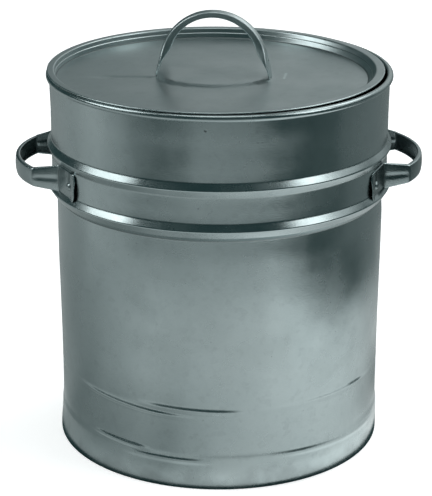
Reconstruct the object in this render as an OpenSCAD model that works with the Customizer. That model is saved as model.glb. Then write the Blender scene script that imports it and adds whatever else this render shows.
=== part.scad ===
// Round sheet-steel waste can with a drop-on lid, two strap side handles and a strap lid handle.
// Millimetres, +Z up. The origin is on the floor at the centre of the can, and the side
// handles lie along X.

/* [Can] */
// Height of the can from the floor to the top of its wired rim
can_h = 351; // [330:1:380]
// Outer radius of the wall from the lower bead up to the rim
wall_r = 155; // [150:0.5:160]
// Step in of the wall radius below the lower bead
wall_step = 4.4; // [2:0.2:6]
// Thickness of the wall sheet
sheet = 0.8; // [0.6:0.1:1.2]
// Outer radius of the curl that wraps the rim wire
curl_r = 3.2; // [2.8:0.1:4]
// How far the lower end of the skirt flares out
skirt_flare = 1; // [0:0.1:1.5]

/* [Beads] */
// Height of the crest of the upper bead above the floor
bead_upper_z = 284.4; // [280:0.2:290]
// Height of the crest of the lower bead above the floor
bead_lower_z = 247.6; // [240:0.2:252]
// Half of the height of a bead, from its edge to its crest
bead_half = 6; // [5:0.2:8]
// How far a bead stands out of the wall
bead_proud = 3.6; // [2.5:0.1:5]
// Height of the crest of the shallow swage near the base
swage_z = 75; // [65:1:90]
// How far the shallow swage stands out of the wall
swage_proud = 1.4; // [0.8:0.1:2]

/* [Bottom] */
// Height of the raised bottom above the floor
bottom_z = 33; // [28:1:40]
// Thickness of the bottom and lid sheet
pan_sheet = 0.7; // [0.6:0.1:1]
// Height of the hem that folds up inside the skirt
hem_h = 8; // [6:0.5:12]

/* [Side handles] */
// Width of the flat pads of the strap
strap_w = 24.6; // [20:0.2:24.8]
// Width of the strap where its edges are folded in
grip_w = 17.5; // [15:0.5:20]
// Thickness of the strap
strap_t = 1; // [0.8:0.1:1.4]
// Depth of the folded edges of the side handles
fold_depth = 4.6; // [3:0.2:6]
// How far the handle reaches out from the wall
reach = 33; // [30:0.5:38]
// Angle from the X axis to the end of each pad
pad_end_deg = 32.5; // [32:0.5:38]
// Angle from the X axis to each rivet
rivet_deg = 29; // [26:0.5:30]
// Angle from the X axis to where each leg leaves the wall
leg_deg = 19.5; // [17:0.5:21]
// Distance of each leg's outer bend from the X axis
bend_y = 47.5; // [40:0.5:50]
// Radius of the bowed middle of the handle
bow_r = 76; // [70:1:120]

/* [Rivets] */
// Shank diameter of a handle rivet
shank_d = 4; // [3:0.5:5]
// Head diameter of a handle rivet
head_d = 8; // [6:0.5:10]
// Height of the domed outer head
head_h = 2; // [1.5:0.1:3]
// Height of the peened inner head
peen_h = 1.2; // [0.8:0.1:2]
// Diameter of the holes that the rivets pass through
hole_d = 4.2; // [3.2:0.1:5.4]

/* [Lid] */
// Outer radius of the lid's hemmed flange
lid_r = 154.6; // [152:0.2:157]
// Inner radius of the flange, where the dish starts
flange_in_r = 146.2; // [142:0.2:147]
// Radius of the lid's sunken panel
panel_r = 138.6; // [134:0.2:140]
// Depth of the sunken panel below the flange
dish_depth = 9; // [6:0.5:12]
// How far the pressed dish sits off the flange's centre
dish_x = -2.4; // [-3:0.2:3]
// Radius of the raised boss between the handle's feet
boss_r = 50; // [30:1:51]
// Height of the raised boss
boss_h = 2; // [1:0.2:3]
// Sideways place where the loose lid lies on the rim
lid_x = -2.6; // [-2.8:0.2:2.8]
// Gap between the lid's hem and the rim
lid_gap = 0.3; // [0.3:0.1:0.6]

/* [Lid handle] */
// Distance between the outer faces of the two feet
foot_span = 104.4; // [100:0.2:110]
// Height of the arch above the lid's panel
arch_h = 60.5; // [54:0.5:70]
// Lean of each leg from upright
leg_lean = 13; // [8:1:16]
// Width of the flat feet
foot_w = 25; // [20:0.5:26]
// Width of the folded grip
lid_grip_w = 13; // [11:0.5:16]
// Depth of the folded edges at the top of the arch
lid_fold_depth = 5; // [3:0.2:6]
// How much deeper the folded edges are at the legs
fold_swell = 2.7; // [1:0.1:3]
// Turn of the lid's handle from the line through the side handles
lid_turn = -8; // [-20:1:20]
// Place of the handle's middle to the right of the dish's centre
lid_grip_x = -1.2; // [-3:0.1:3]
// Place of the handle's middle behind the dish's centre
lid_grip_y = 4.7; // [-3:0.1:6]
// Width of the tabs that are clinched under the lid
tab_w = 12; // [8:1:16]
// Length of the clinched tabs
tab_len = 9; // [6:1:12]
// Diameter of the pierced hole in each foot
pinhole_d = 2.5; // [2:0.5:4]

/* [Hidden] */

$fn = 96;
FINE = 32;              // segments on small rounds
EPS = 0.01;             // overlap of solids that are joined
SLIP = 0.05;            // gap between pieces that lie against each other

// --- can, derived
base_r = wall_r - wall_step;            // outer radius of the lower wall
skirt_r = base_r + skirt_flare;         // outer radius at the floor
curl_z = can_h - curl_r;                // centre of the rim curl
curl_cr = wall_r - 0.2;                 // radius of the rim curl's centre circle
wire_r = curl_r - sheet - SLIP;         // radius of the rim wire
curl_slit_deg = -62;                    // where the curl's edge ends, below its outer side
curl_slit = 0.6;                        // width of the gap at the curl's edge
swage_half = 4.5;                       // half height of the shallow swage
edge_bevel = 0.4;                       // bevel at the foot of the skirt
handle_z = (bead_upper_z + bead_lower_z) / 2;

// --- lid, derived
flange_top = can_h + lid_gap + 2 * pan_sheet;
panel_top = flange_top - dish_depth;
hem_in = 5;                             // width of the lid's folded hem
step_run = 0.6;                         // flat of the small step halfway down the dish
boss_run = 5;                           // width of the slope round the boss
slot_slack = 0.2;                       // play of the tabs in their slots

// --- lid handle, derived: two straight legs and one round arch
foot_x = foot_span / 2;
arch_r = (foot_x - arch_h * tan(leg_lean)) / (1 / cos(leg_lean) - tan(leg_lean));
arch_cz = arch_h - arch_r;
taper_z0 = 13;                          // height where the strap starts to narrow
taper_z1 = 31;                          // height where it has its grip width
foot_flare_z = 7;                       // height where a foot has its full width
fold_z0 = 18;                           // lowest height of the folded edges
fold_z1 = 27.4;                         // height where they reach their full depth
pinhole_z = 15;                         // height of the pierced hole above the panel

// --- side handles, derived
neck_x = wall_r * cos(leg_deg) + 4;     // where a leg starts to narrow, from the pad
neck_run = 18;                          // length over which it narrows
FAR = 400;                              // longer than the can is wide
MARGIN = 5;                             // reach of cutting shapes past what they cut

// Outer side of the wall from the floor to the curl, as [radius, height]
wall_line = [
    [skirt_r - edge_bevel, 0],
    [skirt_r, edge_bevel],
    [skirt_r, hem_h],
    [base_r + skirt_flare * 0.7, bottom_z - 3],
    [base_r, bottom_z + 1],
    [base_r, swage_z - swage_half],
    [base_r + swage_proud, swage_z],
    [base_r, swage_z + swage_half],
    [base_r, bead_lower_z - bead_half - 1],
    [wall_r + bead_proud, bead_lower_z],
    [wall_r, bead_lower_z + bead_half],
    [wall_r, bead_upper_z - bead_half],
    [wall_r + bead_proud, bead_upper_z],
    [wall_r, bead_upper_z + bead_half],
    [wall_r, curl_z - curl_r + sheet / 2]
];

// The same line moved inwards by the sheet's thickness, from top to bottom
function inner_line(line, t) = [for (i = [len(line) - 1:-1:0]) [line[i][0] - t, line[i][1]]];

// Ring sector in a plane, from angle a0 to a1 (under 180 degrees apart)
module sector(r_in, r_out, a0, a1) {
    far = 2 * r_out;
    mid = (a0 + a1) / 2;
    intersection() {
        difference() {
            circle(r = r_out);
            circle(r = r_in);
        }
        polygon([[0, 0], far * [cos(a0), sin(a0)], far * [cos(mid), sin(mid)],
                 far * [cos(a1), sin(a1)]]);
    }
}

// Straight strip in a plane from point a to point b, t wide, to the left of the line
module strip(a, b, t) {
    d = (b - a) / norm(b - a);
    n = [-d[1], d[0]];
    polygon([a, b, b + t * n, a + t * n]);
}

// A dome of diameter d and height h on the plane x = 0, facing +X
module dome(d, h) {
    ball_r = (d * d / 4 + h * h) / (2 * h);
    rotate([0, 90, 0])
        intersection() {
            translate([0, 0, h - ball_r]) sphere(r = ball_r, $fn = FINE * 2);
            cylinder(d = d, h = h, $fn = FINE);
        }
}

// --- can

module body_shell() {
    color([0.52, 0.57, 0.57])
    difference() {
        rotate_extrude($fn = 180) {
            polygon(concat(wall_line, inner_line(wall_line, sheet)));
            // hem folded up inside the skirt, round the flange of the bottom
            hem_x = skirt_r - 3 * sheet - 2 * SLIP;
            translate([hem_x, 0]) square([sheet, hem_h]);
            translate([hem_x, 0]) square([skirt_r - edge_bevel - hem_x, sheet]);
            // rim curled round its wire
            difference() {
                translate([curl_cr, curl_z]) circle(r = curl_r, $fn = FINE * 2);
                translate([curl_cr, curl_z]) circle(r = curl_r - sheet, $fn = FINE * 2);
                translate([curl_cr, curl_z]) rotate(curl_slit_deg)
                    translate([0, -curl_slit / 2]) square([2 * curl_r, curl_slit]);
            }
        }
        rivet_holes();
    }
}

module rivet_holes() {
    for (side = [0, 180], s = [-1, 1])
        rotate([0, 0, side + s * rivet_deg])
            translate([wall_r - MARGIN, 0, handle_z])
                rotate([0, 90, 0]) cylinder(d = hole_d, h = 2 * MARGIN, $fn = FINE);
}

module rim_wire() {
    color([0.42, 0.44, 0.45])
    rotate_extrude($fn = 180)
        translate([curl_cr, curl_z]) circle(r = wire_r, $fn = FINE);
}

module bottom_pan() {
    top_r = base_r - sheet - SLIP;
    foot_r = skirt_r - sheet - SLIP;
    corner = 2;
    color([0.50, 0.55, 0.55])
    rotate_extrude($fn = 180)
        polygon([
            [0, bottom_z],
            [top_r - corner, bottom_z],
            [top_r, bottom_z - corner],
            [top_r, bottom_z - 4],
            [foot_r, hem_h],
            [foot_r, sheet + SLIP],
            [foot_r - pan_sheet, sheet + SLIP],
            [foot_r - pan_sheet, hem_h],
            [top_r - pan_sheet, bottom_z - 4.2],
            [top_r - pan_sheet, bottom_z - corner - pan_sheet / 2],
            [top_r - corner - pan_sheet / 2, bottom_z - pan_sheet],
            [0, bottom_z - pan_sheet]
        ]);
}

// --- side handles

// Plan of half of one side handle, inset from the strap's outer face by in0 to in1
module handle_plan(in0, in1, from_deg) {
    r = wall_r + strap_t;
    leg = r * [cos(leg_deg), sin(leg_deg)];
    bow_cx = wall_r + reach - bow_r;
    bend = [bow_cx + sqrt(bow_r * bow_r - bend_y * bend_y), bend_y];
    bend_a = atan2(bend[1], bend[0] - bow_cx);
    side = [0, 1] * in0;
    strip(leg - side, bend - side, -(in1 - in0));
    translate([bow_cx, 0]) sector(bow_r - in1, bow_r - in0, -EPS, bend_a);
    if (from_deg > 0) sector(wall_r, wall_r + strap_t, leg_deg - 0.4, from_deg);
}

module half_handle() {
    lip_z = grip_w / 2;
    pad_x = wall_r * cos(pad_end_deg) - MARGIN;
    tip_x = wall_r + reach + MARGIN;
    // skin of the strap, full width on the pad and narrower in the grip
    intersection() {
        translate([0, 0, -strap_w / 2]) linear_extrude(strap_w) handle_plan(0, strap_t, pad_end_deg);
        rotate([90, 0, 0]) linear_extrude(FAR, center = true)
            polygon([[pad_x, -strap_w / 2], [neck_x, -strap_w / 2],
                     [neck_x + neck_run, -lip_z], [tip_x, -lip_z],
                     [tip_x, lip_z], [neck_x + neck_run, lip_z],
                     [neck_x, strap_w / 2], [pad_x, strap_w / 2]]);
    }
    // edges folded in towards the can
    intersection() {
        for (z = [-lip_z, lip_z - strap_t])
            translate([0, 0, z]) linear_extrude(strap_t) handle_plan(0, fold_depth, 0);
        translate([neck_x + neck_run - 2, -FAR / 2, -strap_w / 2]) cube([FAR, FAR, strap_w]);
    }
}

module side_handle() {
    translate([0, 0, handle_z])
    difference() {
        union() {
            half_handle();
            mirror([0, 1, 0]) half_handle();
        }
        for (s = [-1, 1]) rotate([0, 0, s * rivet_deg]) translate([wall_r - MARGIN, 0, 0])
            rotate([0, 90, 0]) cylinder(d = hole_d, h = 2 * MARGIN, $fn = FINE);
    }
}

module handle_left() { color([0.42, 0.47, 0.47]) rotate([0, 0, 180]) side_handle(); }
module handle_right() { color([0.42, 0.47, 0.47]) side_handle(); }

// --- rivets

// A rivet through pad and wall, set at angle a from the X axis
module rivet(a) {
    inner_x = wall_r - sheet - 0.06;
    color([0.62, 0.66, 0.66])
    rotate([0, 0, a]) translate([0, 0, handle_z]) {
        translate([inner_x - EPS, 0, 0]) rotate([0, 90, 0])
            cylinder(d = shank_d, h = wall_r + strap_t - inner_x + 2 * EPS, $fn = FINE);
        translate([wall_r + strap_t, 0, 0]) dome(head_d, head_h);
        translate([inner_x, 0, 0]) mirror([1, 0, 0]) dome(head_d - 1, peen_h);
    }
}

module rivet_left_front() { rivet(180 + rivet_deg); }
module rivet_left_rear() { rivet(180 - rivet_deg); }
module rivet_right_front() { rivet(-rivet_deg); }
module rivet_right_rear() { rivet(rivet_deg); }

// --- lid

// Moves its children to the centre of the lid's dish
module on_dish() { translate([lid_x + dish_x, 0, 0]) children(); }

// Moves its children to the middle of the lid's handle, and turns them with it
module on_handle() {
    on_dish() translate([lid_grip_x, lid_grip_y, 0]) rotate([0, 0, lid_turn]) children();
}

// Dish and boss, out to the flat lip that the flange ring joins
module dish() {
    mid_r = (flange_in_r + panel_r) / 2;
    mid_z = panel_top + dish_depth / 2;
    t = pan_sheet;
    slant = 0.4 * t;
    lip_r = flange_in_r + 2 * abs(dish_x) + 1;
    rotate_extrude($fn = 180) polygon([
        [0, panel_top + boss_h],
        [boss_r - boss_run, panel_top + boss_h],
        [boss_r, panel_top],
        [panel_r, panel_top],
        [mid_r - step_run / 2, mid_z],
        [mid_r + step_run / 2, mid_z],
        [flange_in_r, flange_top],
        [lip_r, flange_top],
        [lip_r, flange_top - t],
        [flange_in_r + slant, flange_top - t],
        [mid_r + step_run / 2 + slant, mid_z - t],
        [mid_r - step_run / 2 + slant, mid_z - t],
        [panel_r + slant, panel_top - t],
        [boss_r + slant, panel_top - t],
        [boss_r - boss_run + slant, panel_top + boss_h - t],
        [0, panel_top + boss_h - t]
    ]);
}

// Flat flange whose edge is folded under as a hem
module flange() {
    t = pan_sheet;
    hem_z = flange_top - 2 * t;
    rotate_extrude($fn = 180) {
        translate([flange_in_r + abs(dish_x) + 0.5, flange_top - t])
            square([lid_r - t - flange_in_r - abs(dish_x) - 0.5, t]);
        polygon([
            [lid_r - t, flange_top],
            [lid_r - t / 2, flange_top],
            [lid_r, flange_top - t / 2],
            [lid_r, hem_z + t / 2],
            [lid_r - t / 2, hem_z],
            [lid_r - hem_in, hem_z],
            [lid_r - hem_in, hem_z + t - SLIP],
            [lid_r - t, hem_z + t - SLIP]
        ]);
    }
}

module lid_pan() {
    color([0.47, 0.52, 0.52])
    difference() {
        union() {
            on_dish() dish();
            translate([lid_x, 0, 0]) flange();
        }
        on_handle() for (s = [0, 180]) rotate([0, 0, s])
            translate([foot_x - strap_t - slot_slack, -tab_w / 2 - slot_slack, panel_top - MARGIN])
                cube([strap_t + 2 * slot_slack, tab_w + 2 * slot_slack, 2 * MARGIN]);
    }
}

// Side view of half of the arch, from in0 to in1 inside its outer face, above height z0
module arch_half(in0, in1, z0) {
    knee = [arch_r * cos(leg_lean), arch_cz + arch_r * sin(leg_lean)];
    inward = [cos(leg_lean), sin(leg_lean)];
    intersection() {
        union() {
            strip([foot_x, 0] - in0 * inward, knee - in0 * inward, in1 - in0);
            translate([0, arch_cz]) sector(arch_r - in1, arch_r - in0, leg_lean - 1, 90 + EPS);
        }
        translate([-1, z0]) square([foot_x + 1, arch_h]);
    }
}

// Side view of a folded edge: deepest beside the knee, and cut away towards the foot
module folded_edge() {
    inner_r = arch_r - lid_fold_depth - fold_swell;
    inner_cz = arch_cz + fold_swell;
    low_x = foot_x - fold_z0 * tan(leg_lean) - 4.5;
    high_x = sqrt(pow(inner_r, 2) - pow(fold_z1 - inner_cz, 2));
    difference() {
        arch_half(0, lid_fold_depth + 2 * fold_swell, fold_z0);
        translate([0, inner_cz]) circle(r = inner_r);
        polygon([[0, fold_z0 - 1], [low_x, fold_z0 - 1], [high_x, fold_z1], [0, fold_z1]]);
    }
}

module half_arch() {
    half_outline = [[tab_w / 2, 0], [foot_w / 2, foot_flare_z], [foot_w / 2, taper_z0],
                    [lid_grip_w / 2, taper_z1], [lid_grip_w / 2, arch_h + MARGIN]];
    last = len(half_outline) - 1;
    outline = concat(half_outline, [for (i = [last:-1:0]) [-half_outline[i][0], half_outline[i][1]]]);
    // skin of the strap, seen from the side and trimmed to its outline
    intersection() {
        rotate([90, 0, 0]) linear_extrude(foot_w + MARGIN, center = true) arch_half(0, strap_t, 0);
        rotate([90, 0, 90]) linear_extrude(FAR, center = true) polygon(outline);
    }
    // edges folded in under the arch
    for (s = [0, 1]) mirror([0, s, 0])
        translate([0, lid_grip_w / 2, 0])
            rotate([90, 0, 0]) linear_extrude(strap_t) folded_edge();
}

// Tab that runs down from a foot, through the lid, and is clinched flat under it
module tab() {
    low = panel_top - pan_sheet - SLIP;
    drop = panel_top - low + strap_t + EPS;
    translate([foot_x - strap_t, -tab_w / 2, -drop + EPS]) cube([strap_t, tab_w, drop]);
    translate([foot_x - tab_len, -tab_w / 2, -drop + EPS]) cube([tab_len, tab_w, strap_t]);
}

module lid_handle() {
    color([0.55, 0.60, 0.60])
    on_handle() translate([0, 0, panel_top])
        for (s = [0, 1]) mirror([s, 0, 0]) difference() {
            union() {
                half_arch();
                tab();
            }
            translate([0, 0, pinhole_z]) rotate([0, 90, 0])
                cylinder(d = pinhole_d, h = foot_span, $fn = FINE);
        }
}

body_shell();
rim_wire();
bottom_pan();
handle_left();
handle_right();
rivet_left_front();
rivet_left_rear();
rivet_right_front();
rivet_right_rear();
lid_pan();
lid_handle();
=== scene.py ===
"""Looks of a round galvanised waste can with a drop-on lid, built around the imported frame.

Lengths in the constants and in the outlines are millimetres; new_object() turns them into metres.
An angle round the can is measured from +X, counter-clockwise from above.
"""

import math

import bmesh
import bpy
from mathutils import Matrix, Vector, noise


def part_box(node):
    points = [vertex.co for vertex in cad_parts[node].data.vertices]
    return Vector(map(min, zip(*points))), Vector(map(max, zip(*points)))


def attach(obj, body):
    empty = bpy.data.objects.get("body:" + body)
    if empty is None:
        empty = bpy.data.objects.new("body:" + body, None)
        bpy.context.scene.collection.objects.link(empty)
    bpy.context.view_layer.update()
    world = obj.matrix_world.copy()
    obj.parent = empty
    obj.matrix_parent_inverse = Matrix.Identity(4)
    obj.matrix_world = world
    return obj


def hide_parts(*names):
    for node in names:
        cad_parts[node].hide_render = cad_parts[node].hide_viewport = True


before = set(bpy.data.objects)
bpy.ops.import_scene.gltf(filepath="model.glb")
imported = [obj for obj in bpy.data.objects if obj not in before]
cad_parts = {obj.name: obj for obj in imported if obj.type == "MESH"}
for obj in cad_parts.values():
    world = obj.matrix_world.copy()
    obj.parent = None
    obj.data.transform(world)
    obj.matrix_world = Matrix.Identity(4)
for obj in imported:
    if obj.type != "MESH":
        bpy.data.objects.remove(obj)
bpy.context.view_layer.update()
MM = 0.001


def cad_box(node):
    """Lowest and highest corner of a CAD node, in millimetres."""
    low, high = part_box(node)
    return low / MM, high / MM


# --- sizes taken from the frame
BODY_HIGH = cad_box("body_shell")[1]
LID_LOW, LID_HIGH = cad_box("lid_pan")
GRIP_LOW, GRIP_HIGH = cad_box("handle_right")
BOTTOM_HIGH = cad_box("bottom_pan")[1]
ARCH_LOW, ARCH_HIGH = cad_box("lid_handle")

# --- can
SHEET = 0.8
BEAD_PROUD = 3.6
WALL_R = BODY_HIGH.x - BEAD_PROUD
WALL_STEP = 4.4
BASE_R = WALL_R - WALL_STEP
SKIRT_FLARE = 1.0
SKIRT_R = BASE_R + SKIRT_FLARE
CAN_H = BODY_HIGH.z
CURL_R = 3.2
CURL_Z = CAN_H - CURL_R
CURL_CR = WALL_R - 0.2
BEAD_UPPER_Z = 284.4
BEAD_LOWER_Z = 247.6
BEAD_HALF = 6.0
SWAGE_Z = 75.0
SWAGE_HALF = 3.6
BOTTOM_Z = BOTTOM_HIGH.z
HEM_H = 8.0
HANDLE_Z = (GRIP_LOW.z + GRIP_HIGH.z) / 2
SEAM_DEG = 90.0
SEAM_HALF_DEG = 1.5
SEAM_STEP_DEG = 0.18
SEAM_PROUD = 0.75
SWAGE_PROUD = 0.12
WALL_WAVE = 0.55
WALL_RIPPLE = 0.2
LEFT_DENT = 1.4
RIGHT_FULLNESS = 1.0

# --- side handles
STRAP_T = 1.0
REACH_X = GRIP_HIGH.x
BOW_R = 76.0
BEND_Y = 47.5
LEG_DEG = 19.5
PAD_END_DEG = 32.5
RIVET_DEG = 29.0
GRIP_W = 17.5
PAD_W = 26.0
PAD_CORNER = 5.5
PAD_STEPS = 36
# the end of each pad stands off the wall, from this step on
PAD_LIFT = 1.8
PAD_LIFT_FROM = 22
FOLD = 3.6
STRAP_CURL = 1.6
STRAP_CROWN = 0.7
LEG_GROOVE = 0.7

# --- lid
LID_SHEET = 0.7
LID_WORN = 0.8
LID_R = (LID_HIGH.x - LID_LOW.x) / 2 - LID_WORN
LID_X = (LID_HIGH.x + LID_LOW.x) / 2 - LID_WORN
FLANGE_TOP = LID_HIGH.z
DISH_DEPTH = 9.0
PANEL_TOP = FLANGE_TOP - DISH_DEPTH
FLANGE_IN_R = 146.4
FLANGE_IN_X = LID_X - 0.8
PANEL_R = 142.8
PANEL_X = LID_X - 3.6
PANEL_WAVE = 0.34
PANEL_RIPPLE = 0.07
PANEL_CREASE = 0.95
BOSS_H = 1.9

# --- lid handle
FOOT_X = 53.5
ARCH_H = ARCH_HIGH.z - PANEL_TOP
ARCH_X = (ARCH_LOW.x + ARCH_HIGH.x) / 2 + 1.2
ARCH_Y = (ARCH_LOW.y + ARCH_HIGH.y) / 2 - 2.0
LEG_LEAN = math.radians(13)
LID_TURN = math.radians(-9.5)
ARCH_CURL = 2.0
ARCH_CROWN = 0.9
PINHOLE_Z = 15
PINHOLE_R = 1.25


# ---------------------------------------------------------------- outlines

def lerp(a, b, t):
    return tuple(p + (q - p) * t for p, q in zip(a, b))


def distance(a, b):
    return math.dist(a[:2], b[:2])


def smooth(t):
    t = min(1.0, max(0.0, t))
    return t * t * (3 - 2 * t)


def bell(t):
    """1 at t = 0, falling smoothly to 0 at t = -1 and t = 1."""
    return smooth(1 - abs(t))


def arc(cx, cy, r, a0, a1, steps):
    """Points on an arc, angles in degrees."""
    angles = [math.radians(a0 + (a1 - a0) * i / steps) for i in range(steps + 1)]
    return [(cx + r * math.cos(a), cy + r * math.sin(a)) for a in angles]


def rounded(points, cut, steps=5):
    """The polyline with each inner corner replaced by a curve that starts cut[i] before it.

    A support point on each side of the curve keeps the straight runs flat in the shading.
    """
    out = [points[0]]
    for i in range(1, len(points) - 1):
        before, corner, after = points[i - 1], points[i], points[i + 1]
        if not cut[i]:
            out.append(corner)
            continue
        room_a, room_b = distance(before, corner), distance(corner, after)
        ta, tb = min(cut[i], 0.45 * room_a), min(cut[i], 0.45 * room_b)
        start, end = lerp(corner, before, ta / room_a), lerp(corner, after, tb / room_b)
        if room_a > 4 * ta:
            out.append(lerp(corner, before, 1.35 * ta / room_a))
        for k in range(steps + 1):
            t = k / steps
            out.append(lerp(lerp(start, corner, t), lerp(corner, end, t), t))
        if room_b > 4 * tb:
            out.append(lerp(corner, after, 1.35 * tb / room_b))
    out.append(points[-1])
    return out


def divided(line, longest):
    """The polyline with no run longer than the given length."""
    out = [line[0]]
    for a, b in zip(line, line[1:]):
        n = max(1, math.ceil(distance(a, b) / longest))
        out += [lerp(a, b, k / n) for k in range(1, n + 1)]
    return out


def normals(line):
    """Unit normals of a polyline in its first two coordinates, to the left of its direction."""
    out = []
    for i in range(len(line)):
        a, b = line[max(0, i - 1)], line[min(len(line) - 1, i + 1)]
        dx, dy = b[0] - a[0], b[1] - a[1]
        size = math.hypot(dx, dy) or 1.0
        out.append((-dy / size, dx / size))
    return out


def sheet_outline(centre, t):
    """Closed outline of a sheet of thickness t round its centre line, with rounded cut edges."""
    side = normals(centre)
    h = t / 2
    left = [(p[0] + h * n[0], p[1] + h * n[1], *p[2:]) for p, n in zip(centre, side)]
    right = [(p[0] - h * n[0], p[1] - h * n[1], *p[2:]) for p, n in zip(centre, side)]

    def nose(p, q):
        """Point just past the end p of the centre line, whose next point is q."""
        away = lerp(p, q, -0.35 * t / distance(p, q))
        return [away]

    return left + nose(centre[-1], centre[-2]) + right[::-1] + nose(centre[0], centre[1])


# ---------------------------------------------------------------- meshes

def new_object(name, points, faces):
    mesh = bpy.data.meshes.new(name)
    mesh.from_pydata([Vector(p) * MM for p in points], [], faces)
    tidy = bmesh.new()
    tidy.from_mesh(mesh)
    bmesh.ops.recalc_face_normals(tidy, faces=tidy.faces)
    for face in tidy.faces:
        face.smooth = True
    tidy.to_mesh(mesh)
    tidy.free()
    obj = bpy.data.objects.new(name, mesh)
    bpy.context.scene.collection.objects.link(obj)
    return obj


def turned(name, outline, angles, shape=None, closed=True):
    """Turns an outline of (radius, height[, centre x]) round a vertical axis.

    shape(angle, radius, height) may move a point and gives its new radius and height.
    A first and last point on the axis close an open outline.
    """
    points, rows = [], []
    for entry in outline:
        r, z, cx = (*entry, 0.0)[:3]
        if r < 1e-6:
            points.append((cx, 0.0, z))
            rows.append([len(points) - 1] * len(angles))
            continue
        row = []
        for a in angles:
            rr, zz = shape(a, r, z) if shape else (r, z)
            points.append((cx + rr * math.cos(a), rr * math.sin(a), zz))
            row.append(len(points) - 1)
        rows.append(row)
    faces = []
    pairs = list(zip(rows, rows[1:] + rows[:1])) if closed else list(zip(rows, rows[1:]))
    n = len(angles)
    for low, high in pairs:
        if low[0] == low[-1] and high[0] == high[-1]:
            continue
        for i in range(n):
            j = (i + 1) % n
            loop = [low[i], low[j], high[j], high[i]]
            faces.append(list(dict.fromkeys(loop)))
    return new_object(name, points, faces)


def even_angles(n):
    return [2 * math.pi * i / n for i in range(n)]


def strap_section(width, depth, groove, curl, crown, t):
    """Section of a strap as (across, inward) points of its outer and inner side, and its lip.

    The outer face is width across and bulges outwards by crown, with a groove along its middle.
    Its edges are folded inwards on the radius curl until they reach depth below the face's edge.
    """
    depth = max(depth, 0.1)
    steps = 7
    angle = math.pi / 2 if depth >= curl else math.acos(1 - depth / curl)
    flat = width / 2 - curl * math.sin(angle)
    start = min(math.atan(2 * crown / flat), 0.8 * angle)
    side = []
    for share in (0.0, 0.12, 0.24, 0.36, 0.48, 0.6, 0.8, 0.97):
        slope = math.atan(2 * crown * share / flat)
        side.append((flat * share, crown * share ** 2 + groove * bell(share / 0.4), slope))
    for k in range(steps + 1):
        a = start + (angle - start) * k / steps
        side.append((flat + curl * (math.sin(a) - math.sin(start)),
                     crown + curl * (math.cos(start) - math.cos(a)), a))
    x, y, a = side[-1]
    rest = max(0.2, depth - curl)
    for share in (0.5, 1.0):
        side.append((x + rest * share * math.cos(a), y + rest * share * math.sin(a), a))
    outer = [(p[0], p[1]) for p in side]
    inner = [(p[0] - t * math.sin(p[2]), p[1] + t * math.cos(p[2])) for p in side]
    x, y, a = side[-1]
    lip = (x + 0.3 * t * math.cos(a) - t / 2 * math.sin(a),
           y + 0.3 * t * math.sin(a) + t / 2 * math.cos(a))
    outer = [(-p[0], p[1]) for p in outer[:0:-1]] + outer
    inner = [(-p[0], p[1]) for p in inner[:0:-1]] + inner
    return outer, inner, lip


def strap(name, stations, t, curl, crown):
    """Sweeps a strap along stations of (place, outward, across, width, depth, groove)."""
    points, faces, loops = [], [], []
    for place, outward, across, width, depth, groove in stations:
        outer, inner, lip = strap_section(width, depth, groove, curl, crown, t)
        ring = outer + [lip] + inner[::-1] + [(-lip[0], lip[1])]
        start = len(points)
        points += [place + across * p[0] - outward * p[1] for p in ring]
        loops.append(range(start, start + len(ring)))
    n = len(loops[0])
    for a, b in zip(loops, loops[1:]):
        for i in range(n):
            j = (i + 1) % n
            faces.append((a[i], a[j], b[j], b[i]))
    m = len(outer)
    for loop in (loops[0], loops[-1]):
        for i in range(m - 1):
            faces.append((loop[i], loop[i + 1], loop[2 * m - 1 - i], loop[2 * m - i]))
        faces.append((loop[m - 1], loop[m], loop[m + 1]))
        faces.append((loop[0], loop[2 * m], loop[2 * m + 1]))
    return new_object(name, points, faces)


def mark_edges(obj, radius=1.2):
    """Stores how sharply each point stands out (positive) or lies in a crease (negative)."""
    work = bmesh.new()
    work.from_mesh(obj.data)
    layer = work.verts.layers.float.new("edge")
    for vert in work.verts:
        bend = [(vert.co - e.other_vert(vert).co).dot(vert.normal) / e.calc_length() ** 2
                for e in vert.link_edges if e.calc_length() > 1e-7]
        value = 2 * radius * MM * (sum(bend) / max(1, len(bend)))
        vert[layer] = max(-1.0, min(1.0, value))
    work.to_mesh(obj.data)
    work.free()


def cut_hole(obj, centre, axis, radius, length):
    """Cuts a round hole through an object with a cylinder."""
    side = bpy.data.meshes.new("cutter")
    work = bmesh.new()
    turn = Vector(axis).to_track_quat("Z", "Y").to_matrix().to_4x4()
    bmesh.ops.create_cone(work, cap_ends=True, segments=20, radius1=radius * MM,
                          radius2=radius * MM, depth=length * MM,
                          matrix=Matrix.Translation(Vector(centre) * MM) @ turn)
    work.to_mesh(side)
    work.free()
    cutter = bpy.data.objects.new("cutter", side)
    bpy.context.scene.collection.objects.link(cutter)
    cut = obj.modifiers.new("hole", "BOOLEAN")
    cut.object = cutter
    cut.operation = "DIFFERENCE"
    cut.solver = "EXACT"
    bpy.context.view_layer.update()
    done = bpy.data.meshes.new_from_object(
        obj.evaluated_get(bpy.context.evaluated_depsgraph_get()))
    obj.modifiers.clear()
    obj.data = done
    bpy.data.objects.remove(cutter)


# ---------------------------------------------------------------- can

def seam_share(a):
    """1 on the lock seam at the back of the can, 0 away from it."""
    off = abs(math.degrees(a) - SEAM_DEG)
    return smooth((SEAM_HALF_DEG - off) / SEAM_STEP_DEG + 0.5)


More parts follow.
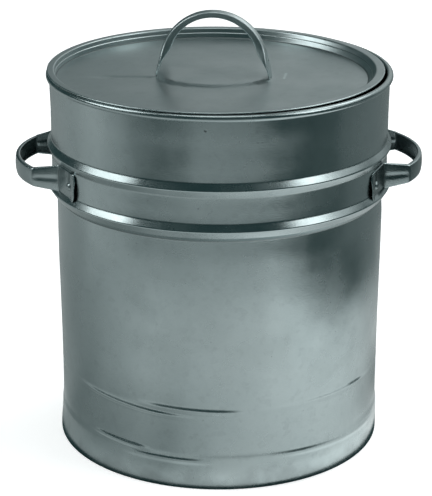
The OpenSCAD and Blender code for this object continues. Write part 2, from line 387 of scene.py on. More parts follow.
# Rolled creases in the wall, each as where it starts and ends round the can, the height at
# both, and how far it stands out.
CREASES = [
    (204, 262, 76.0, 68.0, 0.9),
    (236, 280, 78.0, 74.0, 0.75),
    (285, 340, 76.0, 75.0, 0.25),
    (318, 330, 76.5, 75.5, 0.5),
    (214, 245, 36.0, 33.0, 0.9),
    (230, 268, 27.5, 26.5, 0.6),
    (280, 345, 30.0, 25.0, 0.4),
]


def creases(degrees, z):
    total = 0.0
    for start, end, z_start, z_end, proud in CREASES:
        share = (degrees - start) / (end - start)
        if 0 < share < 1:
            middle = z_start + (z_end - z_start) * share
            ends = smooth(share / 0.3) * smooth((1 - share) / 0.3)
            total += proud * ends * bell((z - middle) / SWAGE_HALF)
    return total


def wall_shape(a, r, z):
    """Dents, the uneven swage, creases and the seam of the wall."""
    free = smooth((z - 10) / 40) * smooth((CAN_H - 14 - z) / 20)
    at = Vector((math.cos(a) * 2.6, math.sin(a) * 2.6, z / 62))
    wave = 0.5 + 0.5 * noise.noise(at)
    ripple = 0.5 + 0.5 * noise.noise(at * 2.7 + Vector((3.1, 1.7, 8.2)))
    bead = max(bell((z - BEAD_UPPER_Z) / (2 * BEAD_HALF)),
               bell((z - BEAD_LOWER_Z) / (2 * BEAD_HALF)))
    dent = -(WALL_WAVE * wave + WALL_RIPPLE * ripple) * free * (1 - 0.8 * bead)
    # pressed in low on the left, and a little full on the right below the beads
    low = smooth(z / 25) * smooth((175 - z) / 90)
    dent -= LEFT_DENT * low * max(0.0, -math.cos(a)) ** 2
    high = smooth((z - 100) / 90) * smooth((BEAD_LOWER_Z - 8 - z) / 25)
    dent += RIGHT_FULLNESS * high * (1 + math.cos(a)) / 2
    swage = SWAGE_PROUD * bell((z - SWAGE_Z) / SWAGE_HALF) + creases(math.degrees(a), z)
    seam = SEAM_PROUD * seam_share(a) * (1 - bead)
    seam *= smooth((z - 2) / 4) * smooth((CAN_H - 9 - z) / 3)
    return r + dent + swage + seam, z


def body_shell():
    h = SHEET / 2
    wall, base, skirt = WALL_R - h, BASE_R - h, SKIRT_R - h
    hem = skirt - 2 * SHEET - 0.15
    corners = [
        (hem, HEM_H), (hem, h), (skirt, h), (skirt, HEM_H + 2), (base + 0.75, BOTTOM_Z - 3),
        (base, BOTTOM_Z + 1.5), (base, SWAGE_Z), (base, BEAD_LOWER_Z - 10.5),
        (wall - 0.6, BEAD_LOWER_Z - 6.8),
        (wall + BEAD_PROUD, BEAD_LOWER_Z), (wall, BEAD_LOWER_Z + BEAD_HALF),
        (wall, BEAD_UPPER_Z - BEAD_HALF - 0.6), (wall + BEAD_PROUD, BEAD_UPPER_Z),
        (wall, BEAD_UPPER_Z + BEAD_HALF), (wall, CURL_Z - CURL_R - 1.2)]
    cuts = [0, 0.8, 0.8, 3, 1.6, 2.2, 0, 1.0, 1.0, 0.8, 1.0, 0.9, 0.8, 1.0, 0]
    line = rounded(corners, cuts)
    ring = arc(CURL_CR, CURL_Z, CURL_R - h, -100, -422, 36)
    line = line[:-1] + rounded([line[-1], (wall, CURL_Z - CURL_R + h), ring[0]], [0, 0.9, 0]) + ring[1:]
    line = divided(line, 4.0)
    fine = []
    for a, b in zip(line, line[1:]):
        fine.append(a)
        if 20 < (a[1] + b[1]) / 2 < SWAGE_Z + SWAGE_HALF + 4:
            fine += [lerp(a, b, k / 4) for k in (1, 2, 3)]
    fine.append(line[-1])
    angles = even_angles(300)
    for s in (-1, 1):
        middle = SEAM_DEG + s * SEAM_HALF_DEG
        angles += [math.radians(middle + k * SEAM_STEP_DEG / 2) for k in (-1.2, -0.5, 0, 0.5, 1.2)]
    return turned("can_wall", sheet_outline(fine, SHEET), sorted(angles), wall_shape)


def bottom_pan():
    top_r = BASE_R - SHEET - 0.05
    foot_r = SKIRT_R - SHEET - 0.05
    h = LID_SHEET / 2
    corners = [(0, BOTTOM_Z - h), (top_r - 8, BOTTOM_Z - h), (top_r - h, BOTTOM_Z - h),
               (top_r - h, BOTTOM_Z - 5), (foot_r - h, HEM_H), (foot_r - h, SHEET + 0.2)]
    line = divided(rounded(corners, [0, 0, 2.4, 1.5, 2, 0]), 9.0)
    side = normals(line)
    top = [(max(0.0, p[0] + h * n[0]), p[1] + h * n[1]) for p, n in zip(line, side)]
    low = [(max(0.0, p[0] - h * n[0]), p[1] - h * n[1]) for p, n in zip(line, side)]
    top[0], low[0] = (0.0, BOTTOM_Z), (0.0, BOTTOM_Z - LID_SHEET)

    def sag(a, r, z):
        """The thin bottom is a little hollow in the middle."""
        flat = smooth((top_r - 12 - r) / 60)
        at = Vector((r * math.cos(a), r * math.sin(a), 0)) / 55
        return r, z - flat * (0.5 + 0.35 * noise.noise(at))

    return turned("raised_bottom", top + low[::-1], even_angles(192), sag, closed=False)


# ---------------------------------------------------------------- side handles

def side_path():
    """Plan of half of the outer face of a side handle, from the middle of the grip to its pad."""
    cx = REACH_X - BOW_R
    bend_deg = math.degrees(math.asin(BEND_Y / BOW_R))
    bow = arc(cx, 0, BOW_R, 0, bend_deg, 16)
    r = WALL_R + STRAP_T
    pad = arc(0, 0, r, LEG_DEG, PAD_END_DEG, PAD_STEPS)
    lift = [PAD_LIFT * smooth((k - PAD_LIFT_FROM) / (PAD_STEPS - PAD_LIFT_FROM))
            for k in range(len(pad))]
    pad = [(x * (1 + d / r), y * (1 + d / r)) for (x, y), d in zip(pad, lift)]
    leg = rounded([bow[-2], bow[-1], pad[0], pad[2]], [0, 1.8, 2.6, 0], 5)
    return bow[:-2] + divided(leg, 1.8)[:-1] + pad[2:]


def handle_lift(side, y):
    """How far a side handle sits above its middle height: the fronts are bent down a little."""
    if side > 0:
        return 0.04 * y - 1.5
    return 0.035 * min(50.0, max(-50.0, y)) - 0.9


def side_handle(name, side):
    half_path = side_path()
    line = [(x, -y) for x, y in half_path[:0:-1]] + half_path
    outward = [(-n[0], -n[1]) for n in normals(line)]
    along = [0.0]
    for a, b in zip(line, line[1:]):
        along.append(along[-1] + distance(a, b))
    bend_x = REACH_X - BOW_R + math.sqrt(BOW_R ** 2 - BEND_Y ** 2)
    pad_x = WALL_R * math.cos(math.radians(LEG_DEG)) - 2.5
    stations = []
    for (x, y), n, s in zip(line, outward, along):
        to_end = min(s, along[-1] - s)
        short = max(0.0, PAD_CORNER - to_end)
        front = side * y
        widening = 1.5 if front > 0 else 1.0
        opened = min(1.0, max(0.0, widening * (bend_x + 1 - x) / (bend_x + 1 - pad_x)))
        width = GRIP_W + (PAD_W - GRIP_W) * opened
        width -= 2 * (PAD_CORNER - math.sqrt(max(0.0, PAD_CORNER ** 2 - short ** 2)))
        spot = Vector((side * x, front, HANDLE_Z + handle_lift(side, front)))
        out = Vector((side * n[0], side * n[1], 0))
        # the lower edge of each pad rides up on the bead below it
        tilt = 0.1 * smooth(1 - to_end / 9)
        across = (Vector((0, 0, 1)) - out * tilt).normalized()
        groove = LEG_GROOVE * smooth(4 * opened) * smooth((1 - opened) / 0.3)
        stations.append((spot, out, across, width, FOLD * (1 - opened), groove))
    return strap(name, stations, STRAP_T, STRAP_CURL, STRAP_CROWN)


def rivet(name, a):
    """A domed rivet whose shank is clinched inside the wall."""
    out = Vector((math.cos(a), math.sin(a), 0))
    face = WALL_R + STRAP_T + 0.3
    inside = WALL_R - SHEET - 0.7
    head = arc(0, face - 2.2, 4.6, 90, 28, 8)
    profile = [(p[0], p[1]) for p in head] + [(4.0, face - 0.05), (3.7, face - 0.15)]
    tail = [(2.0, face - 0.2), (2.0, inside), (3.3, inside), (3.5, inside - 0.35)]
    profile += tail + arc(0, inside + 2.6, 4.0, -32, -90, 5)
    profile[0], profile[-1] = (0.0, profile[0][1]), (0.0, profile[-1][1])
    piece = turned(name, profile, even_angles(40), closed=False)
    spin = out.to_track_quat("Z", "Y").to_matrix().to_4x4()
    height = HANDLE_Z + handle_lift(out.x, WALL_R * out.y)
    piece.data.transform(Matrix.Translation((0, 0, height * MM)) @ spin)
    return piece


# ---------------------------------------------------------------- lid

def panel_shape(x, y):
    """Height that the lid's sunken panel gains at (x, y)."""
    edge = smooth((PANEL_R - 5 - math.hypot(x - PANEL_X, y)) / 25)
    wave = noise.noise(Vector((x, y, 40)) / 75)
    ripple = noise.noise(Vector((x, y, 90)) / 28)
    # raised place between the feet: its front edge is an arc, and it fades out behind
    aside = abs(x - ARCH_X - 1)
    front = math.hypot(aside, y - 26)
    boss = BOSS_H * smooth((68 - front) / 4.6) * smooth((70 - y) / 80) * smooth((54 - aside) / 14)
    # shallow crease from the left foot towards the left edge
    crease = -PANEL_CREASE * bell((y + 3 + 0.05 * (x + 60)) / 6)
    crease *= smooth((-58 - x) / 8) * smooth((x + 125) / 30)
    return edge * (PANEL_WAVE * wave + PANEL_RIPPLE * ripple + crease) + boss


def lid_pan():
    h = LID_SHEET / 2
    low = FLANGE_TOP - 3 * h - 0.04
    mid_r, mid_x, mid_z = (FLANGE_IN_R + PANEL_R) / 2, (FLANGE_IN_X + PANEL_X) / 2, PANEL_TOP + 4.6
    panel_h, top_h = PANEL_TOP - h, FLANGE_TOP - h
    corners = [(0, panel_h, PANEL_X), (PANEL_R, panel_h, PANEL_X),
               (mid_r - 0.4, mid_z - h, mid_x), (mid_r + 0.4, mid_z + 0.4 - h, mid_x),
               (FLANGE_IN_R, top_h, FLANGE_IN_X), (LID_R - 0.72, top_h, LID_X),
               (LID_R - 0.35, (top_h + low) / 2, LID_X), (LID_R - 0.72, low, LID_X),
               (LID_R - 5, low, LID_X)]
    line = rounded(corners, [0, 1.1, 0.3, 0.3, 1.0, 0.25, 0.3, 0.25, 0], 4)
    line = divided(line, 3.2)
    side = normals(line)
    top = [(max(0.0, p[0] + h * n[0]), p[1] + h * n[1], p[2]) for p, n in zip(line, side)]
    under = [(max(0.0, p[0] - h * n[0]), p[1] - h * n[1], p[2]) for p, n in zip(line, side)]
    top[0], under[0] = (0.0, PANEL_TOP, PANEL_X), (0.0, PANEL_TOP - LID_SHEET, PANEL_X)
    piece = turned("lid", top + under[::-1], even_angles(288), closed=False)
    for vert in piece.data.vertices:
        x, y = vert.co.x / MM, vert.co.y / MM
        if vert.co.z < (PANEL_TOP + 1) * MM:
            vert.co.z += panel_shape(x, y) * MM
    piece.data.update()
    return piece


def lid_handle():
    arch_r = (FOOT_X - ARCH_H * math.tan(LEG_LEAN)) / (1 / math.cos(LEG_LEAN) - math.tan(LEG_LEAN))
    arch_cz = ARCH_H - arch_r
    lean_deg = math.degrees(LEG_LEAN)
    bow = arc(0, arch_cz, arch_r, 90, lean_deg, 26)
    under = -LID_SHEET - 1.15
    foot = rounded([bow[-1], (FOOT_X, 0), (FOOT_X, under), (FOOT_X - 9, under)], [0, 0.3, 1.0, 0], 4)
    half_path = bow[:-1] + divided(foot, 1.4)
    line = [(-x, z) for x, z in half_path[:0:-1]] + half_path
    outward = normals(line)
    turn = Matrix.Rotation(LID_TURN, 3, "Z")
    centre = Vector((ARCH_X, ARCH_Y, PANEL_TOP))
    swell = 2.7
    inner_r = arch_r - 5 - swell
    stations = []
    for (x, z), n in zip(line, outward):
        # feet widen upwards, then the strap narrows to the grip
        width = 12 + 9 * smooth((z + 0.2) / 1.0) + 4 * smooth(z / 8) - 12 * smooth((z - 13) / 19)
        # the folded edges end on a smaller circle set higher, and run out at the feet
        rise = math.atan2(z - arch_cz, abs(x))
        inner = swell * math.sin(rise) + math.sqrt(inner_r ** 2 - (swell * math.cos(rise)) ** 2)
        depth = min(arch_r - inner, 0.39 * (z - 8.7))
        spot = centre + turn @ Vector((x, 0, z))
        out = turn @ Vector((n[0], 0, n[1]))
        side = turn @ Vector((0, 1, 0))
        stations.append((spot, out, side, width, depth, 0.0))
    piece = strap("lid_grip", stations, STRAP_T, ARCH_CURL, ARCH_CROWN)
    for s in (-1, 1):
        reach = FOOT_X - PINHOLE_Z * math.tan(LEG_LEAN)
        place = centre + turn @ Vector((s * reach, 0, PINHOLE_Z))
        cut_hole(piece, place, turn @ Vector((1, 0, 0)), PINHOLE_R, 8)
    return piece


# ---------------------------------------------------------------- materials

def shader_maths(tree):
    """Short forms of a maths node and of a smooth step, whose limits may be sockets."""
    nodes, links = tree.nodes, tree.links

    def op(kind, a, b=None, c=None):
        node = nodes.new("ShaderNodeMath")
        node.operation = kind
        for socket, value in zip(node.inputs, (a, b, c)):
            if isinstance(value, (int, float)):
                socket.default_value = value
            elif value is not None:
                links.new(value, socket)
        return node.outputs[0]

    def ramp(value, low, high, out_low=0.0, out_high=1.0):
        node = nodes.new("ShaderNodeMapRange")
        node.interpolation_type = "SMOOTHSTEP"
        for socket, number in zip(node.inputs[1:5], (low, high, out_low, out_high)):
            if isinstance(number, (int, float)):
                socket.default_value = number
            else:
                links.new(number, socket)
        links.new(value, node.inputs[0])
        return node.outputs[0]

    return op, ramp


def galvanised(name, light, dark, rough, spangle=0.05, bump=0.05, scratches=(), specks=(),
               low_darkening=0.0):
    """Zinc-coated sheet: cloudy patina, faint spangle, fine grain, bright worn edges.

    scratches and specks are bright and dark marks, each as start, end and width in metres, and
    the last argument is the height in metres up to which the sheet turns darker, in blotches,
    towards the floor.
    """
    mat = bpy.data.materials.new(name)
    mat.use_nodes = True
    tree = mat.node_tree
    nodes, links = tree.nodes, tree.links
    op, ramp = shader_maths(tree)
    shader = nodes["Principled BSDF"]
    shader.inputs["Metallic"].default_value = 1.0
    place = nodes.new("ShaderNodeTexCoord").outputs["Object"]

    def texture(kind, scale, detail=3.0, at=place):
        node = nodes.new(kind)
        node.inputs["Scale"].default_value = scale
        if "Detail" in node.inputs:
            node.inputs["Detail"].default_value = detail
        links.new(at, node.inputs["Vector"])
        return node

    def mixed(factor, a, b, blend="MIX"):
        node = nodes.new("ShaderNodeMix")
        node.data_type = "RGBA"
        node.blend_type = blend
        if isinstance(factor, (int, float)):
            node.inputs[0].default_value = factor
        else:
            links.new(factor, node.inputs[0])
        for socket, value in ((node.inputs[6], a), (node.inputs[7], b)):
            if isinstance(value, tuple):
                socket.default_value = (*value, 1.0)
            else:
                links.new(value, socket)
        return node.outputs[2]

    clouds = texture("ShaderNodeTexNoise", 11.0, 4.0).outputs["Fac"]
    patina = ramp(clouds, 0.35, 0.68)
    colour = mixed(patina, dark, light)
    flakes = texture("ShaderNodeTexVoronoi", 170.0)
    flake = ramp(flakes.outputs["Color"], 0.0, 1.0, 1.0 - spangle, 1.0 + spangle)
    flake_colour = nodes.new("ShaderNodeCombineColor")
    for socket in flake_colour.inputs[:3]:
        links.new(flake, socket)
    colour = mixed(1.0, colour, flake_colour.outputs[0], "MULTIPLY")

    edge = nodes.new("ShaderNodeAttribute")
    edge.attribute_name = "edge"
    worn = ramp(edge.outputs["Fac"], 0.12, 0.7)
    # painted shade: points lying in a crease (negative edge values) take a darker colour where shade
    # falls there, and a rougher finish
    crease_shade = ramp(edge.outputs["Fac"], -0.08, -0.4)
    bright = tuple(min(1.0, c * 1.5) for c in light)
    # a dark colour shared by the painted shade in creases and by the pits, the specks and the darkening
    # near the floor
    stain_and_shade = tuple(c * 0.3 for c in dark)
    colour = mixed(op("MULTIPLY", worn, 0.6), colour, bright)
    # painted shade in the creases
    colour = mixed(op("MULTIPLY", crease_shade, 0.7), colour, stain_and_shade)

    pits = texture("ShaderNodeTexNoise", 260.0, 2.0).outputs["Fac"]
    spots = ramp(pits, 0.74, 0.80)
    colour = mixed(op("MULTIPLY", spots, 0.55), colour, stain_and_shade)

    # darker in blotches towards the floor, up to the given height
    if low_darkening:
        parts = nodes.new("ShaderNodeSeparateXYZ")
        links.new(place, parts.inputs[0])
        blotches = texture("ShaderNodeTexNoise", 38.0, 4.0).outputs["Fac"]
        reach = op("MULTIPLY", blotches, 2 * low_darkening)
        toward_floor = ramp(op("SUBTRACT", parts.outputs["Z"], reach), 0.0, -low_darkening)
        colour = mixed(op("MULTIPLY", toward_floor, 0.4), colour, stain_and_shade)

    height = texture("ShaderNodeTexNoise", 900.0, 3.0).outputs["Fac"]
    swell = texture("ShaderNodeTexNoise", 45.0, 2.0).outputs["Fac"]
    height = op("ADD", height, op("MULTIPLY", swell, 2.0))
    for start, end, width in scratches:
        line = scratch_mask(nodes, links, place, start, end, width)
        colour = mixed(op("MULTIPLY", line, 0.7), colour, bright)
        height = op("SUBTRACT", height, op("MULTIPLY", line, 1.5))

    for start, end, width in specks:
        spot = scratch_mask(nodes, links, place, start, end, width)
        colour = mixed(op("MULTIPLY", spot, 0.85), colour, stain_and_shade)

    smear = texture("ShaderNodeTexNoise", 24.0, 5.0).outputs["Fac"]
    gloss = ramp(smear, 0.3, 0.7, rough - 0.05, rough + 0.07)
    gloss = op("SUBTRACT", gloss, op("MULTIPLY", worn, 0.08))
    gloss = op("ADD", gloss, op("MULTIPLY", crease_shade, 0.15))
    bumps = nodes.new("ShaderNodeBump")
    bumps.inputs["Strength"].default_value = bump
    bumps.inputs["Distance"].default_value = 0.001
    links.new(height, bumps.inputs["Height"])
    links.new(colour, shader.inputs["Base Color"])
    links.new(gloss, shader.inputs["Roughness"])
    links.new(bumps.outputs["Normal"], shader.inputs["Normal"])
    return mat


def scratch_mask(nodes, links, place, start, end, width):
    """1 on the straight scratch from start to end (metres), 0 away from it."""
    a, b = Vector(start), Vector(end)
    axis = b - a

    def vector(op, first, second=None, scale=None):
        node = nodes.new("ShaderNodeVectorMath")
        node.operation = op
        for socket, value in zip(node.inputs, (first, second)):
            if isinstance(value, Vector):
                socket.default_value = value
            elif value is not None:
                links.new(value, socket)
        if scale is not None:
            links.new(scale, node.inputs["Scale"])
        return node

    away = vector("SUBTRACT", place, a).outputs["Vector"]
    share = nodes.new("ShaderNodeMath")
    share.operation = "MULTIPLY"
    share.use_clamp = True
    links.new(vector("DOT_PRODUCT", away, axis).outputs["Value"], share.inputs[0])
    share.inputs[1].default_value = 1.0 / axis.length_squared
    along = nodes.new("ShaderNodeVectorMath")
    along.operation = "SCALE"
    along.inputs[0].default_value = axis
    links.new(share.outputs[0], along.inputs["Scale"])
    off = vector("DISTANCE", away, along.outputs["Vector"]).outputs["Value"]
    fall = nodes.new("ShaderNodeMapRange")
    for socket, number in zip(fall.inputs[1:5], (width * 0.4, width, 1.0, 0.0)):
        socket.default_value = number
    links.new(off, fall.inputs[0])
    return fall.outputs[0]


def paint(obj, mat):
    obj.data.materials.clear()
    obj.data.materials.append(mat)


# ---------------------------------------------------------------- studio

FLOOR_R = 9.0
FLOOR_GLOW = 0.62
CARD_IN_R = 0.158
CARD_OUT_R = 4.0
CARD_LIFT = 0.0006


def disc(name, inner, outer, height):
    """A flat disc or ring on the floor, in metres."""
    steps = 96
    points = [(outer * math.cos(a), outer * math.sin(a), height) for a in even_angles(steps)]
    faces = [tuple(range(steps))]
    if inner:
        points += [(inner * math.cos(a), inner * math.sin(a), height) for a in even_angles(steps)]
        faces = [(i, (i + 1) % steps, steps + (i + 1) % steps, steps + i) for i in range(steps)]
    mesh = bpy.data.meshes.new(name)
    mesh.from_pydata(points, [], faces)
    obj = bpy.data.objects.new(name, mesh)
    bpy.context.scene.collection.objects.link(obj)
    return obj


def floor():
    mat = bpy.data.materials.new("floor_paper")
    mat.use_nodes = True
    shader = mat.node_tree.nodes["Principled BSDF"]
    shader.inputs["Base Color"].default_value = (0.93, 0.93, 0.93, 1)
    shader.inputs["Roughness"].default_value = 1.0
    shader.inputs["Specular IOR Level"].default_value = 0.0
    shader.inputs["Emission Color"].default_value = (1, 1, 1, 1)
    shader.inputs["Emission Strength"].default_value = FLOOR_GLOW
    paper = disc("floor_paper", 0.0, FLOOR_R, 0.0)
    paper.data.materials.append(mat)
    # the metal mirrors the studio's bounce card instead of the paper
    paper.visible_glossy = False


# The bounce card round the can, which only reflections see. Azimuth in degrees (0 is towards
# the camera, 90 to its right), then its light at 0.1, 0.3, 0.6 and 1 m from the can's wall.
CARD = [
    (-180, 0.45, 0.45, 0.40, 0.25),
    (-110, 0.36, 0.34, 0.38, 0.46),
    (-90, 0.28, 0.40, 0.62, 0.65),
    (-70, 0.32, 0.56, 0.58, 0.46),
    (-54, 0.38, 0.66, 0.54, 0.20),
    (-42, 0.45, 0.72, 0.62, 0.13),
    (-28, 0.42, 0.70, 0.66, 0.16),
    (-15, 0.58, 0.76, 0.60, 0.38),
    (0, 0.74, 0.79, 0.58, 0.36),
    (18, 0.84, 0.88, 0.66, 0.28),
    (32, 0.92, 1.04, 0.90, 0.07),
    (45, 0.98, 1.12, 0.46, 0.08),
    (58, 0.96, 1.20, 0.13, 0.10),
    (74, 0.86, 1.16, 0.09, 0.12),
    (92, 0.60, 1.00, 0.11, 0.22),
    (115, 0.34, 0.70, 0.22, 0.25),
    (150, 0.50, 0.50, 0.40, 0.25),
    (180, 0.45, 0.45, 0.40, 0.25),
]
CARD_FADES = [(0.10, 0.24), (0.38, 0.52), (0.64, 0.86)]
# on the right everything comes nearer by this share, between these two azimuths
CARD_PULL = 0.42
CARD_PULL_FROM, CARD_PULL_TO = 40, 84
# what lies against the wall is brighter still, by this share, out to this distance
CARD_FOOT = 0.4
CARD_FOOT_REACH = 0.036
# the room takes this much of the red out of every reflection
ROOM_TINT = 0.034

# Soft panels of light round the can: the azimuth of the middle, half width, elevation from
# and to, feather, all in degrees, and strength.
PANELS = [
    (-88, 14, 21, 60, 5, 3.0),
    (66, 8, 20, 60, 8, 2.55),
    (94, 18, 20, 60, 8, 0.8),
    (128, 14, 34, 62, 8, 2.2),
    (150, 22, 2, 48, 20, 0.50),
    (0, 180, 74, 90, 10, 2.0),
]
AMBIENT = (0.064 - ROOM_TINT, 0.064, 0.066)
BACKDROP = (0.95, 0.95, 0.95)


def azimuth_of(op, x, y):
    return op("ARCTAN2", x, op("MULTIPLY", y, -1.0))


def bounce_card():
    card = disc("bounce_card", CARD_IN_R, CARD_OUT_R, CARD_LIFT)
    mat = bpy.data.materials.new("bounce_card")
    mat.use_nodes = True
    tree = mat.node_tree
    nodes, links = tree.nodes, tree.links
    nodes.clear()
    op, ramp = shader_maths(tree)
    place = nodes.new("ShaderNodeTexCoord").outputs["Object"]
    parts = nodes.new("ShaderNodeSeparateXYZ")
    links.new(place, parts.inputs[0])
    azimuth = azimuth_of(op, parts.outputs["X"], parts.outputs["Y"])
    share = op("ADD", op("DIVIDE", azimuth, 2 * math.pi), 0.5)
    band = nodes.new("ShaderNodeValToRGB")
    band.color_ramp.interpolation = "EASE"
    stops = band.color_ramp.elements
    for i, (angle, *lights) in enumerate(CARD):
        at = angle / 360 + 0.5
        stop = stops[i] if i < 2 else stops.new(at)
        stop.position = at
        stop.color = lights
    links.new(share, band.inputs[0])
    values = nodes.new("ShaderNodeSeparateColor")
    links.new(band.outputs["Color"], values.inputs[0])
    foot, middle, far = values.outputs[:3]
    length = nodes.new("ShaderNodeVectorMath")
    length.operation = "LENGTH"
    links.new(place, length.inputs[0])
    away = op("SUBTRACT", length.outputs["Value"], CARD_IN_R)
    against = ramp(away, CARD_FOOT_REACH, 0.6 * CARD_FOOT_REACH)
    light = op("MULTIPLY", foot, op("MULTIPLY_ADD", against, CARD_FOOT, 1.0))
    pull = ramp(azimuth, math.radians(CARD_PULL_FROM), math.radians(CARD_PULL_TO))
    away = op("MULTIPLY", away, op("MULTIPLY_ADD", pull, CARD_PULL, 1.0))
    for further, (start, end) in zip((middle, far, band.outputs["Alpha"]), CARD_FADES):
        fade = ramp(away, start, end)
        light = op("ADD", op("MULTIPLY", light, op("SUBTRACT", 1.0, fade)),
                   op("MULTIPLY", further, fade))
    tinted = nodes.new("ShaderNodeCombineColor")
    links.new(op("SUBTRACT", light, ROOM_TINT), tinted.inputs[0])
    links.new(light, tinted.inputs[1])
    links.new(light, tinted.inputs[2])
    glow = nodes.new("ShaderNodeEmission")
    links.new(tinted.outputs[0], glow.inputs["Color"])
    out = nodes.new("ShaderNodeOutputMaterial")
    links.new(glow.outputs[0], out.inputs["Surface"])
    card.data.materials.append(mat)
    card.visible_camera = False
    card.visible_diffuse = False
    card.visible_shadow = False
    card.visible_transmission = False


def studio():
    world = bpy.data.worlds.new("studio")
    bpy.context.scene.world = world
    world.use_nodes = True
    nodes, links = world.node_tree.nodes, world.node_tree.links
    nodes.clear()
    op, ramp = shader_maths(world.node_tree)
    way = nodes.new("ShaderNodeTexCoord").outputs["Generated"]
    parts = nodes.new("ShaderNodeSeparateXYZ")
    links.new(way, parts.inputs[0])
    azimuth = azimuth_of(op, parts.outputs["X"], parts.outputs["Y"])
    elevation = op("ARCSINE", parts.outputs["Z"])
    total = None
    for middle, half, low, high, feather, strength in PANELS:
        f = math.radians(feather)
        low, high, half = math.radians(low), math.radians(high), math.radians(half)
        value = op("MULTIPLY", ramp(elevation, low - f / 2, low + f / 2), strength)
        if high < 1.5:
            value = op("MULTIPLY", value, ramp(elevation, high + f / 2, high - f / 2))
        if half < 3:
            off = op("ABSOLUTE", op("WRAP", op("SUBTRACT", azimuth, math.radians(middle)),
                                    math.pi, -math.pi))
            value = op("MULTIPLY", value, ramp(off, half + f, half))
        total = value if total is None else op("ADD", total, value)

    glow = nodes.new("ShaderNodeCombineXYZ")
    for socket in glow.inputs:
        links.new(total, socket)
    lit = nodes.new("ShaderNodeVectorMath")
    lit.operation = "ADD"
    links.new(glow.outputs[0], lit.inputs[0])
    lit.inputs[1].default_value = AMBIENT
    seen = nodes.new("ShaderNodeLightPath").outputs["Is Camera Ray"]
    choose = nodes.new("ShaderNodeMix")
    choose.data_type = "VECTOR"
    links.new(seen, choose.inputs[0])
    links.new(lit.outputs[0], choose.inputs[4])
    choose.inputs[5].default_value = BACKDROP
    back = nodes.new("ShaderNodeBackground")
    links.new(choose.outputs[1], back.inputs["Color"])
    out = nodes.new("ShaderNodeOutputWorld")
    links.new(back.outputs[0], out.inputs["Surface"])


# ---------------------------------------------------------------- camera

# degrees and metres, but the sensor and the focal length are in millimetres
CAMERA_AZIMUTH = -2.65
CAMERA_DISTANCE = 1.7133
CAMERA_HEIGHT = 0.80355
CAMERA_PITCH = 20.109
CAMERA_YAW = -0.095
CAMERA_ROLL = 0.16
SENSOR = 36.0
FOCAL = 161.44


def camera():
    data = bpy.data.cameras.new("camera")
    data.sensor_fit = "HORIZONTAL"
    data.sensor_width = SENSOR
    data.lens = FOCAL
    data.clip_end = 50
    turn = math.radians(CAMERA_AZIMUTH)
    pitch, yaw, roll = (math.radians(v) for v in (CAMERA_PITCH, CAMERA_YAW, CAMERA_ROLL))
    heading = yaw - turn
    forward = Vector((math.sin(heading) * math.cos(pitch), math.cos(heading) * math.cos(pitch),
                      -math.sin(pitch)))
    right = forward.cross(Vector((0, 0, 1))).normalized()
    up = right.cross(forward)
    tilt = Matrix.Rotation(-roll, 3, forward)
    right, up = tilt @ right, tilt @ up
    obj = bpy.data.objects.new("camera", data)
    place = Vector((math.sin(turn) * CAMERA_DISTANCE, -math.cos(turn) * CAMERA_DISTANCE,
                    CAMERA_HEIGHT))
    axes = Matrix((right, up, -forward)).transposed()
    obj.matrix_world = Matrix.Translation(place) @ axes.to_4x4()
    bpy.context.scene.collection.objects.link(obj)
    bpy.context.scene.camera = obj


# ---------------------------------------------------------------- the whole

def dress(piece, body, slot, mat, *nodes):
    """Gives a piece its finish, its body and the CAD nodes that it stands for."""
    mark_edges(piece)
    paint(piece, mat)
    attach(piece, body)
    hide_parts(*nodes)


ZINC_LIGHT = (0.375, 0.437, 0.440)
ZINC_DARK = (0.340, 0.402, 0.406)
# painted highlight: the lid handle takes a lighter copy of the zinc, for the light it catches
GRIP_LIT_LIGHT = (0.520, 0.585, 0.588)
# painted shade: the side straps and their rivets take a darker copy of the zinc, for the shade the side
# handles sit in
STRAP_SHADED_LIGHT = (0.330, 0.385, 0.388)
STRAP_SHADED_DARK = (0.195, 0.238, 0.241)
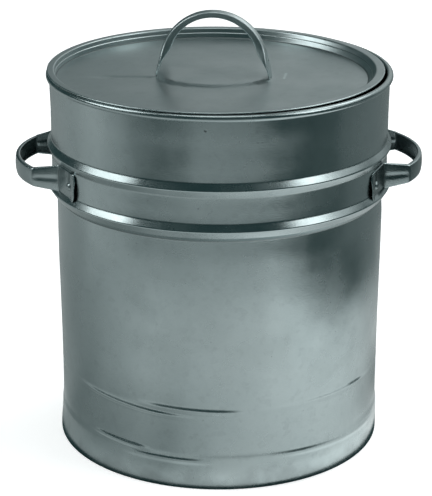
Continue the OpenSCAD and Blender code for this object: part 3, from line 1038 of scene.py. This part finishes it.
# marks in the zinc, each as where it starts and ends and how wide it is, in metres
WALL_SCRATCHES = [
    ((0.072, -0.135, 0.036), (0.083, -0.129, 0.039), 0.0008),
]
WALL_SPECKS = [
    ((-0.0194, -0.1538, 0.3371), (-0.0186, -0.1538, 0.3367), 0.0011),
]
LID_SCRATCHES = [
    ((0.058, -0.012, 0.344), (0.0615, 0.007, 0.344), 0.0018),
]


def build():
    wall = galvanised("wall_zinc", ZINC_LIGHT, ZINC_DARK, 0.23, scratches=WALL_SCRATCHES,
                      specks=WALL_SPECKS, low_darkening=0.02)
    lid = galvanised("lid_zinc", ZINC_LIGHT, ZINC_DARK, 0.33, scratches=LID_SCRATCHES)
    bottom = galvanised("bottom_zinc", ZINC_LIGHT, ZINC_DARK, 0.42)
    # the side straps get the darker, shaded copy of the zinc
    strap_zinc_shaded = galvanised("strap_zinc_shaded", STRAP_SHADED_LIGHT, STRAP_SHADED_DARK, 0.26, bump=0.2)
    # the lid handle gets the lighter, lit copy of the zinc
    grip_zinc_lit = galvanised("grip_zinc_lit", GRIP_LIT_LIGHT, ZINC_LIGHT, 0.42, bump=0.15)
    # the rivets share the side straps' darker, shaded copy of the zinc
    rivet_steel_shaded = galvanised("rivet_steel_shaded", STRAP_SHADED_LIGHT, STRAP_SHADED_DARK, 0.32, spangle=0.02, bump=0.15)
    wire = galvanised("wire_steel", ZINC_LIGHT, ZINC_DARK, 0.40, spangle=0.0)
    dress(body_shell(), "can", "wall_sheet", wall, "body_shell")
    dress(bottom_pan(), "can", "bottom_sheet", bottom, "bottom_pan")
    dress(side_handle("handle_strap_right", 1), "can", "side_strap", strap_zinc_shaded, "handle_right")
    dress(side_handle("handle_strap_left", -1), "can", "side_strap", strap_zinc_shaded, "handle_left")
    for side, base in (("left", 180), ("right", 0)):
        for end, step in (("front", -1), ("rear", 1)):
            turn = step * RIVET_DEG if side == "right" else base - step * RIVET_DEG
            node = f"rivet_{side}_{end}"
            dress(rivet(f"{node}_head", math.radians(turn)), "can", "rivet", rivet_steel_shaded, node)
    dress(lid_pan(), "lid", "lid_sheet", lid, "lid_pan")
    dress(lid_handle(), "lid", "lid_strap", grip_zinc_lit, "lid_handle")
    paint(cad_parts["rim_wire"], wire)


build()
floor()
bounce_card()
studio()
camera()
bpy.context.scene.view_settings.view_transform = "Standard"
